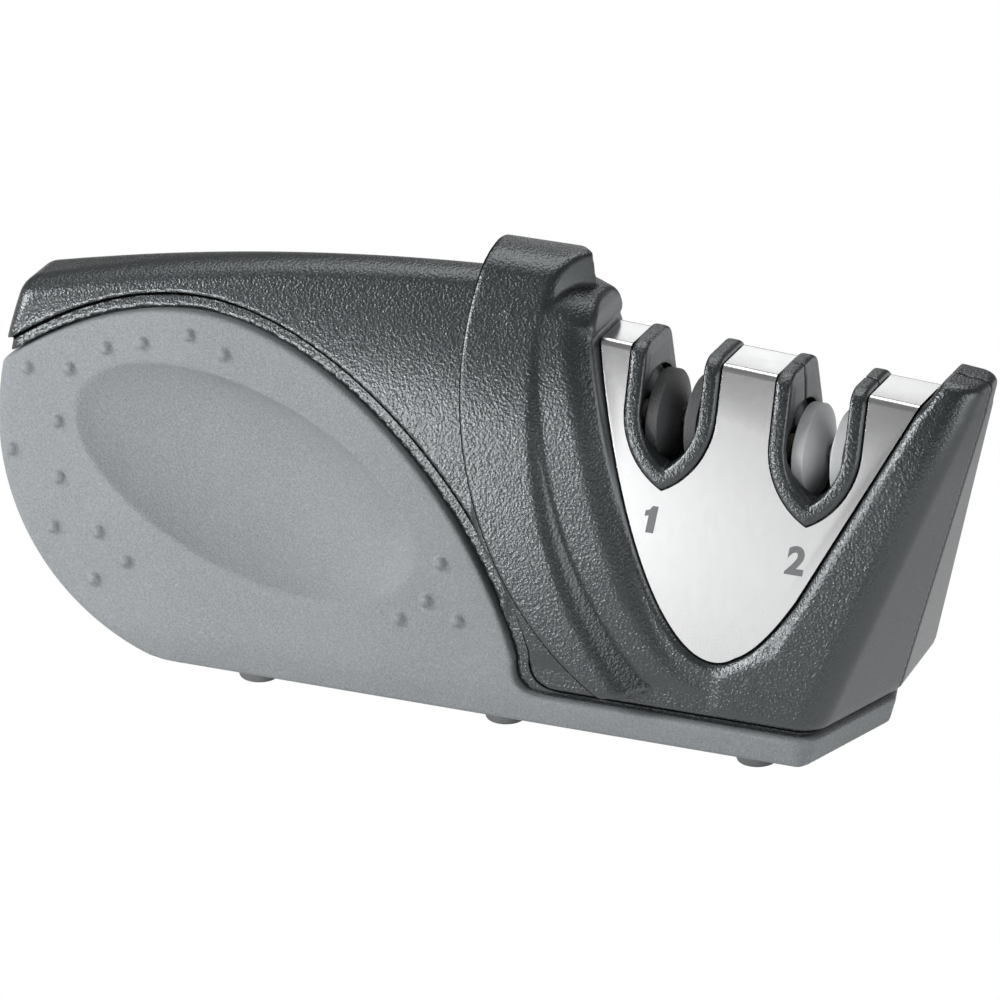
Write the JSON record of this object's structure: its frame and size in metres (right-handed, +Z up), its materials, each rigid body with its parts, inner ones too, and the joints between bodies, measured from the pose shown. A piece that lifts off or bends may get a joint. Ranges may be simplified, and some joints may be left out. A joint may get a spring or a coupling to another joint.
{
  "type": "knife sharpener",
  "caption": "Hand-held knife sharpener: arched soft-grip handle with thumb recess, raised collar, steel-faced head with notched knife slots over turning abrasive wheels.",
  "frame": {"origin": "middle of the overall length and width, at the soles of the feet", "axes": "+X from the handle to the sharpening head, +Y to the back, +Z up"},
  "size_m": [0.2044, 0.0576, 0.0924],
  "materials": {
    "soft_grip": "satin soft-touch, fine grain",
    "housing": "moulded leather grain",
    "plate": "brushed up the face",
    "axle": "ground",
    "coarse_grit": "bonded grit",
    "fine_grit": "fine fired surface",
    "sleeve": "plain",
    "foot": "matt",
    "screw": "zinc plated"
  },
  "bodies": {
    "housing": {"grip_tub": "soft_grip", "front_housing": "housing", "rear_housing": "housing", "face_plate": "plate", "coarse_left_bush": "sleeve", "coarse_right_bush": "sleeve", "fine_left_bush": "sleeve", "fine_right_bush": "sleeve", "foot_1": "foot", "foot_2": "foot", "foot_3": "foot", "foot_4": "foot", "foot_5": "foot", "foot_6": "foot", "screw_1": "screw", "screw_2": "screw", "screw_3": "screw", "screw_4": "screw"},
    "coarse_wheels": {"coarse_axle": "axle", "coarse_left_wheel": "coarse_grit", "coarse_left_spacer": "sleeve", "coarse_right_wheel": "coarse_grit", "coarse_right_spacer": "sleeve"},
    "fine_wheels": {"fine_axle": "axle", "fine_left_wheel": "fine_grit", "fine_left_spacer": "sleeve", "fine_right_wheel": "fine_grit", "fine_right_spacer": "sleeve"}
  },
  "joints": [
    {"name": "coarse_wheels_turn", "type": "hinge", "parent": "housing", "child": "coarse_wheels", "pos_m": [0.03936, 0, 0.0604], "axis": [1, 0, 0], "continuous": true},
    {"name": "fine_wheels_turn", "type": "hinge", "parent": "housing", "child": "fine_wheels", "pos_m": [0.06956, 0, 0.0579], "axis": [1, 0, 0], "continuous": true}
  ]
}
